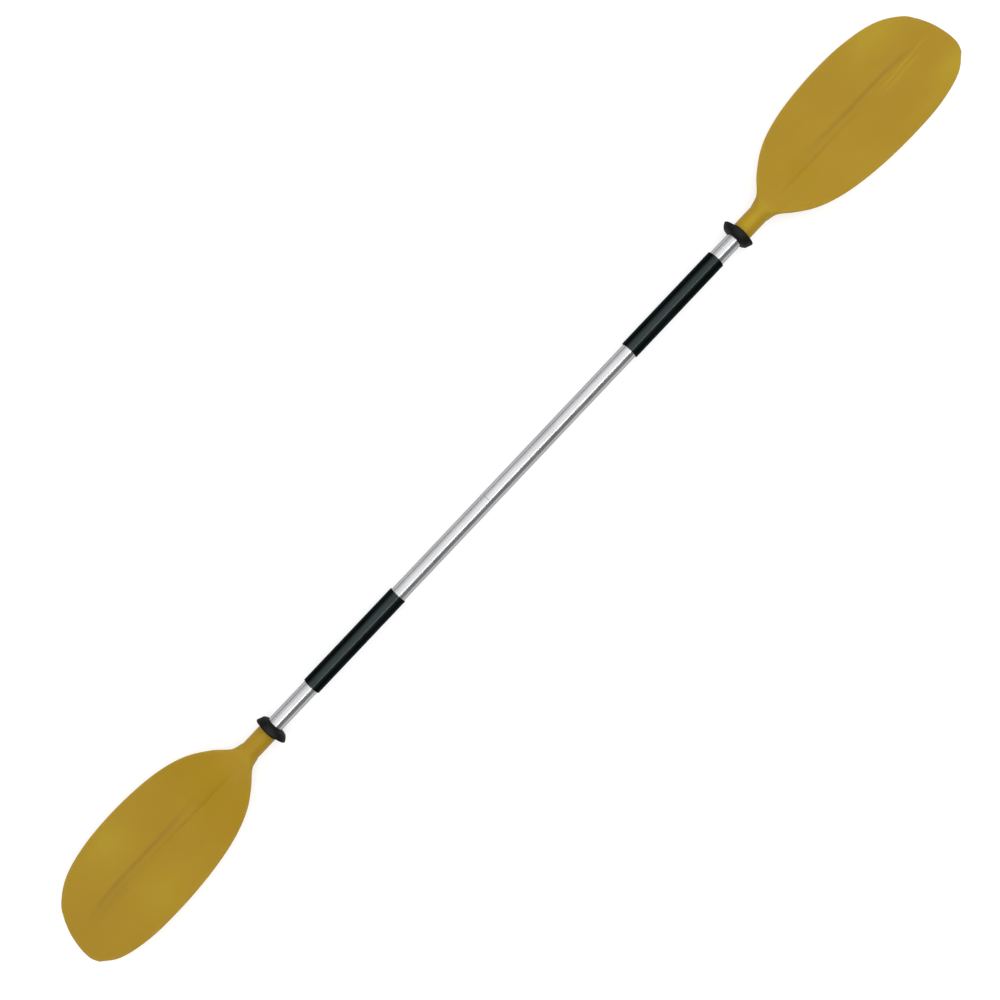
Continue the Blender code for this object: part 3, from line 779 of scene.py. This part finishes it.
def build_paddle():
    """Every piece, each in place of its CAD node."""
    plastic = blade_material()
    tube = drawn_aluminium("drawn_shaft_aluminium", (0.475, 0.475, 0.482), 0.25, tint=0.38,
                           rub=0.18)
    bare = drawn_aluminium("ferrule_aluminium", (0.50, 0.50, 0.50), 0.36, rub=0.7)
    grip = grip_material()
    rubber = rubber_material("drip_ring_rubber", (0.0040, 0.0040, 0.0042), 0.60)
    seal = rubber_material("seal_rubber", (0.012, 0.012, 0.012), 0.40, 2600.0)
    steel = steel_material("button_steel", (0.60, 0.59, 0.57), 0.22)
    spring = steel_material("spring_steel", (0.34, 0.32, 0.30), 0.34)
    rivet = steel_material("rivet_aluminium", (0.66, 0.66, 0.67), 0.30)
    mandrel = steel_material("mandrel_steel", (0.24, 0.23, 0.22), 0.50)
    foam = foam_material()
    build_shafts(tube)
    for side, sign in (("right", 1), ("left", -1)):
        build_blade(side, sign, plastic)
        build_grip(side, grip)
        build_ring(side, rubber)
        build_rivet(side + "_neck_rivet", side + "_blade_rivet", sign * BLADE_RIVET_X, NECK_RADIUS,
                    SHAFT_BORE, side + "_half", rivet, mandrel)
    build_ferrule(bare)
    build_rivet("joint_rivet", "ferrule_rivet", FERRULE_RIVET_X, SHAFT_RADIUS, FERRULE_BORE,
                "left_half", rivet, mandrel)
    build_seal(seal)
    build_button(steel)
    build_spring(spring)
    build_bung("left", SPLIT_X - FERRULE_REACH - BUNG_CLEARANCE - BUNG_LENGTH, foam)
    build_bung("right", SPLIT_X + FERRULE_REACH + BUNG_CLEARANCE, foam)


# ---------------------------------------------------------------- floor, light and camera

def add_floor():
    """A wide pale floor under the paddle. A little light of its own keeps shadows faint."""
    material = bpy.data.materials.new("studio_floor")
    material.use_nodes = True
    shader = material.node_tree.nodes["Principled BSDF"]
    shader.inputs["Base Color"].default_value = (0.42, 0.42, 0.42, 1)
    shader.inputs["Emission Color"].default_value = (1, 1, 1, 1)
    shader.inputs["Emission Strength"].default_value = 0.66
    shader.inputs["Roughness"].default_value = 0.9
    shader.inputs["Specular IOR Level"].default_value = 0.1
    mesh = bpy.data.meshes.new("studio_floor")
    half = 15.0
    corners = [(-half, -half), (half, -half), (half, half), (-half, half)]
    mesh.from_pydata([(x, y, FLOOR_HEIGHT) for x, y in corners], [], [(0, 1, 2, 3)])
    mesh.materials.append(material)
    floor = bpy.data.objects.new("studio_floor", mesh)
    bpy.context.scene.collection.objects.link(floor)


def add_light(name, place, tilt, size, radiance, colour):
    """A soft rectangular light, facing down, or turned about X by its tilt in degrees."""
    lamp = bpy.data.lights.new(name, "AREA")
    lamp.shape = "RECTANGLE"
    lamp.size, lamp.size_y = size
    lamp.energy = radiance * math.pi * size[0] * size[1]
    lamp.color = colour
    item = bpy.data.objects.new(name, lamp)
    item.location = place
    item.rotation_euler = (math.radians(tilt), 0, 0)
    item.visible_camera = False
    bpy.context.scene.collection.objects.link(item)


def add_lights():
    """A grey world that is lighter below, two lights overhead and a tall one to the side."""
    world = bpy.data.worlds.new("studio_world")
    world.use_nodes = True
    nodes, links = world.node_tree.nodes, world.node_tree.links
    coords = nodes.new("ShaderNodeTexCoord")
    split = nodes.new("ShaderNodeSeparateXYZ")
    ramp = nodes.new("ShaderNodeValToRGB")
    links.new(coords.outputs["Generated"], split.inputs[0])
    links.new(split.outputs["Z"], ramp.inputs[0])
    stops = ((0.0, 0.46), (0.28, 0.34), (0.62, 0.27), (1.0, 0.26))
    ramp.color_ramp.elements[0].position = 0.0
    ramp.color_ramp.elements[1].position = 1.0
    for position, _ in stops[1:-1]:
        ramp.color_ramp.elements.new(position)
    for element, (position, level) in zip(ramp.color_ramp.elements, stops):
        element.position = position
        element.color = (level, level, level, 1)
    links.new(ramp.outputs[0], nodes["Background"].inputs["Color"])
    bpy.context.scene.world = world
    add_light("overhead_softbox", (0.9, 0.60, 3.3), 0, (7.0, 4.1), 1.52, (0.945, 0.98, 1.0))
    add_light("strip_light", (0.5, -1.36, 3.2), 0, (7.0, 0.34), 6.4, (1.0, 0.97, 0.93))
    add_light("left_fill", (0.0, 4.5, 3.55), -90, (5.2, 4.1), 0.98, (1.0, 0.945, 0.965))


def add_camera():
    """Straight down from above the middle, with the shaft running to the upper right."""
    data = bpy.data.cameras.new("camera")
    data.sensor_width = 36
    data.lens = 55.4
    camera = bpy.data.objects.new("camera", data)
    camera.location = (-0.0284, -0.0157, 2.7)
    camera.rotation_euler = (0, 0, math.radians(-46.57))
    data.clip_start, data.clip_end = 0.05, 60
    bpy.context.scene.collection.objects.link(camera)
    bpy.context.scene.camera = camera


add_camera()
add_floor()
add_lights()
bpy.context.scene.view_settings.view_transform = "Standard"
build_paddle()
